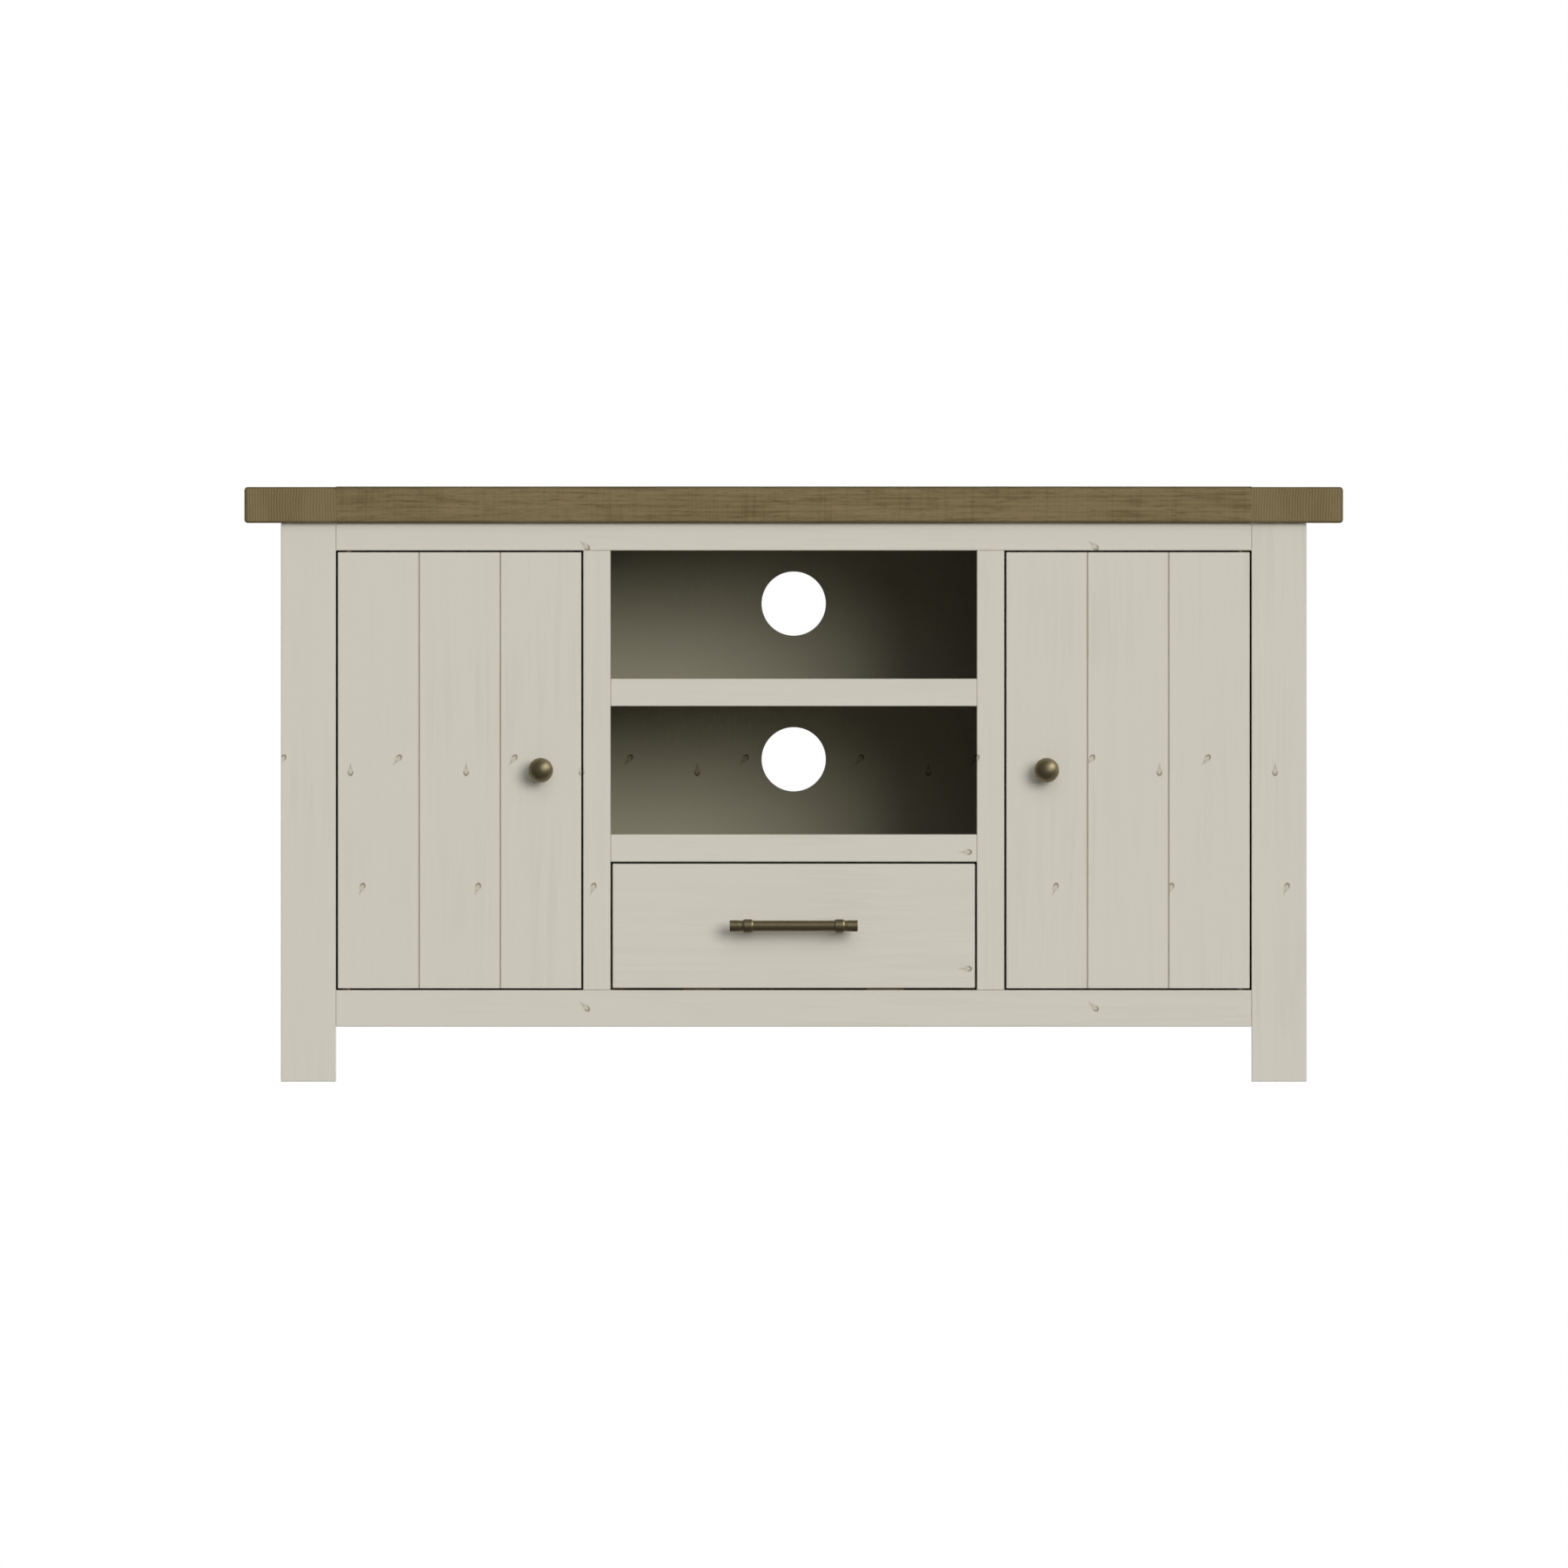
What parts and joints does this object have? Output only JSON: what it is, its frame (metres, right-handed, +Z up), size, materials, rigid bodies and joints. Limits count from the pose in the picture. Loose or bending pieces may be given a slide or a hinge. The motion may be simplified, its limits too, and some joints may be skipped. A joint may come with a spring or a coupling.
{
  "type": "media cabinet",
  "caption": "Low painted media cabinet with a thick plank top, two boarded doors, an open middle with cable holes, and a drawer below.",
  "frame": {"origin": "on the floor, under the middle of the cabinet's whole box, knobs and handle included", "axes": "+X to the right seen from the front, +Y to the back, +Z up; the doors and the drawer face -Y"},
  "size_m": [1.2, 0.474, 0.65],
  "materials": {
    "top_cleat_wood": "oiled oak, end grain to the front",
    "top_plank_wood": "brown oiled oak, long grain, softly worn edges",
    "painted_wood": "warm grey satin paint with small knots and faint grain",
    "drawer_wood": "plain sanded softwood",
    "drawer_plywood": "plain birch plywood",
    "aged_brass": "aged brass, brushed, darker in the recesses",
    "hinge_brass": "plain brass",
    "screw_steel": "yellow zinc plated",
    "bright_steel": "bright nickel plated",
    "catch_plastic": "brown moulded plastic"
  },
  "bodies": {
    "cabinet": {"back_panel_centre": "painted_wood", "back_panel_left": "painted_wood", "back_panel_right": "painted_wood", "back_post_left": "painted_wood", "back_post_right": "painted_wood", "back_rails": "painted_wood", "cabinet_floor": "painted_wood", "catch_bodies": "catch_plastic", "centre_shelf": "painted_wood", "cupboard_shelf_left": "painted_wood", "cupboard_shelf_right": "painted_wood", "drawer_divider": "painted_wood", "drawer_rail": "painted_wood", "drawer_runners": "drawer_wood", "drawer_stops": "drawer_wood", "frame_screws": "screw_steel", "front_bottom_rail": "painted_wood", "front_post_left": "painted_wood", "front_post_right": "painted_wood", "front_top_rail": "painted_wood", "hinge_frame_leaves": "hinge_brass", "hinge_pins": "bright_steel", "partition_left": "painted_wood", "partition_right": "painted_wood", "shelf_pins": "bright_steel", "side_panel_left": "painted_wood", "side_panel_right": "painted_wood", "side_rails_left": "painted_wood", "side_rails_right": "painted_wood", "stile_left": "painted_wood", "stile_right": "painted_wood", "top_cleat_left": "top_cleat_wood", "top_cleat_right": "top_cleat_wood", "top_planks_1": "top_plank_wood", "top_planks_2": "top_plank_wood", "top_planks_3": "top_plank_wood", "top_planks_4": "top_plank_wood", "top_screws": "screw_steel"},
    "left_door": {"left_catch_plate": "bright_steel", "left_door_battens": "painted_wood", "left_door_boards": "painted_wood", "left_door_screws": "screw_steel", "left_hinge_leaves": "hinge_brass", "left_knob": "aged_brass", "left_knob_bolt": "aged_brass"},
    "right_door": {"right_catch_plate": "bright_steel", "right_door_battens": "painted_wood", "right_door_boards": "painted_wood", "right_door_screws": "screw_steel", "right_hinge_leaves": "hinge_brass", "right_knob": "aged_brass", "right_knob_bolt": "aged_brass"},
    "drawer": {"drawer_back": "drawer_wood", "drawer_bottom": "drawer_plywood", "drawer_front": "painted_wood", "drawer_side_left": "drawer_wood", "drawer_side_right": "drawer_wood", "handle_bar": "aged_brass", "handle_bolts": "aged_brass", "handle_posts": "aged_brass"}
  },
  "joints": [
    {"name": "left_door_hinge", "type": "hinge", "parent": "cabinet", "child": "left_door", "pos_m": [-0.487, -0.196, 0.34], "axis": [0, 0, -1], "range_deg": [0, 110]},
    {"name": "right_door_hinge", "type": "hinge", "parent": "cabinet", "child": "right_door", "pos_m": [0.487, -0.196, 0.34], "axis": [0, 0, 1], "range_deg": [0, 110]},
    {"name": "drawer_slide", "type": "slide", "parent": "cabinet", "child": "drawer", "axis": [0, -1, 0], "range_m": [0, 0.3]}
  ]
}
